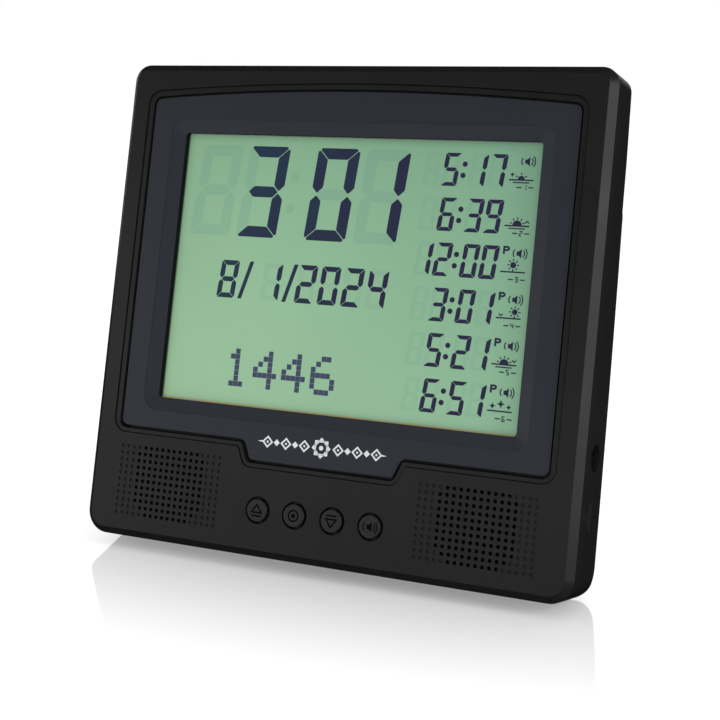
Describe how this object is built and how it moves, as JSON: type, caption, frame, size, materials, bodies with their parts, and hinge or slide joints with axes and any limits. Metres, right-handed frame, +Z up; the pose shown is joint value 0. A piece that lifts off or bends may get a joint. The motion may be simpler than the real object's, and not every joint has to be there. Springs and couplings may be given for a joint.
{
  "type": "prayer time desk clock",
  "caption": "Leaning desk clock with a wide green segment display in a sunk grey panel, paired speaker grilles, round keys, side volume wheel and a folding rear leg.",
  "frame": {"origin": "middle of the footprint on the table, with the clock standing on its leg", "axes": "+X to the right as seen from the front, +Y to the rear, +Z up; the front face leans back 14 degrees"},
  "size_m": [0.232, 0.0824, 0.2165],
  "materials": {
    "case_black": "satin moulded black ABS with a fine spark texture",
    "panel_grey": "satin blue-grey ABS",
    "button_black": "satin black ABS",
    "foam_black": "black foam",
    "rubber_black": "matt black rubber",
    "polariser_film": "semi-matt film over a green display",
    "display_glass": "clear float glass",
    "guide_acrylic": "green-lit clear acrylic",
    "reflector_white": "white film",
    "holder_white": "natural white ABS",
    "board_green": "green solder mask on glass-fibre laminate",
    "chip_black": "black epoxy",
    "lamp_white": "white lamp packages",
    "plug_cream": "cream nylon and aluminium cans",
    "contact_rubber": "layered conductive rubber",
    "speaker_steel": "zinc-plated pressed steel",
    "cone_paper": "pressed black paper",
    "ferrite": "ferrite ring and plated yoke",
    "jack_black": "black nylon",
    "contact_nickel": "nickel-plated steel",
    "screw_steel": "black-zinc steel",
    "cell_jacket": "plain printed sleeve, with no name"
  },
  "bodies": {
    "case": {"backlight_leds": "lamp_white", "battery_cell_lower": "cell_jacket", "battery_cell_upper": "cell_jacket", "battery_contacts": "contact_nickel", "battery_springs": "contact_nickel", "board_chips": "chip_black", "board_components": "plug_cream", "board_screws": "screw_steel", "case_screws": "screw_steel", "contact_strip": "contact_rubber", "display_bezel": "panel_grey", "foot_left": "rubber_black", "foot_right": "rubber_black", "front_case": "case_black", "holder_screws": "screw_steel", "key_board": "board_green", "key_board_screws": "screw_steel", "key_switches": "jack_black", "lcd_front_glass": "display_glass", "lcd_holder": "holder_white", "lcd_polariser": "polariser_film", "lcd_rear_glass": "display_glass", "light_guide": "guide_acrylic", "main_board": "board_green", "power_jack": "jack_black", "power_jack_pin": "contact_nickel", "rear_cover": "case_black", "reflector_sheet": "reflector_white", "side_board": "board_green", "side_board_screws": "screw_steel", "speaker_left_basket": "speaker_steel", "speaker_left_cone": "cone_paper", "speaker_left_magnet": "ferrite", "speaker_right_basket": "speaker_steel", "speaker_right_cone": "cone_paper", "speaker_right_magnet": "ferrite", "speaker_screws": "screw_steel", "speaker_washers": "screw_steel", "stand_pin": "contact_nickel", "volume_control": "jack_black", "window_gasket": "foam_black"},
    "button_up_key": {"button_up": "button_black", "plunger_up": "lamp_white"},
    "button_set_key": {"button_set": "button_black", "plunger_set": "lamp_white"},
    "button_down_key": {"button_down": "button_black", "plunger_down": "lamp_white"},
    "button_sound_key": {"button_sound": "button_black", "plunger_sound": "lamp_white"},
    "wheel": {"volume_wheel": "button_black"},
    "door": {"battery_door": "case_black"},
    "leg": {"stand_leg": "case_black", "stand_foot_pad": "rubber_black"}
  },
  "joints": [
    {"name": "press_up", "type": "slide", "parent": "case", "child": "button_up_key", "axis": [0, 0.9703, -0.2419], "range_m": [0, 0.0005], "stiffness_N_per_m": 2500},
    {"name": "press_set", "type": "slide", "parent": "case", "child": "button_set_key", "axis": [0, 0.9703, -0.2419], "range_m": [0, 0.0005], "stiffness_N_per_m": 2500},
    {"name": "press_down", "type": "slide", "parent": "case", "child": "button_down_key", "axis": [0, 0.9703, -0.2419], "range_m": [0, 0.0005], "stiffness_N_per_m": 2500},
    {"name": "press_sound", "type": "slide", "parent": "case", "child": "button_sound_key", "axis": [0, 0.9703, -0.2419], "range_m": [0, 0.0005], "stiffness_N_per_m": 2500},
    {"name": "volume_turn", "type": "hinge", "parent": "case", "child": "wheel", "pos_m": [0.107, -0.01819, 0.03655], "axis": [0, 0.9703, -0.2419], "range_deg": [-150, 150]},
    {"name": "door_open", "type": "hinge", "parent": "case", "child": "door", "pos_m": [-0.095, 0.0054, 0.04747], "axis": [-1, 0, 0], "range_deg": [0, 75]},
    {"name": "leg_fold", "type": "hinge", "parent": "case", "child": "leg", "pos_m": [0, 0.01263, 0.10029], "axis": [1, 0, 0], "range_deg": [-28, 0]}
  ]
}
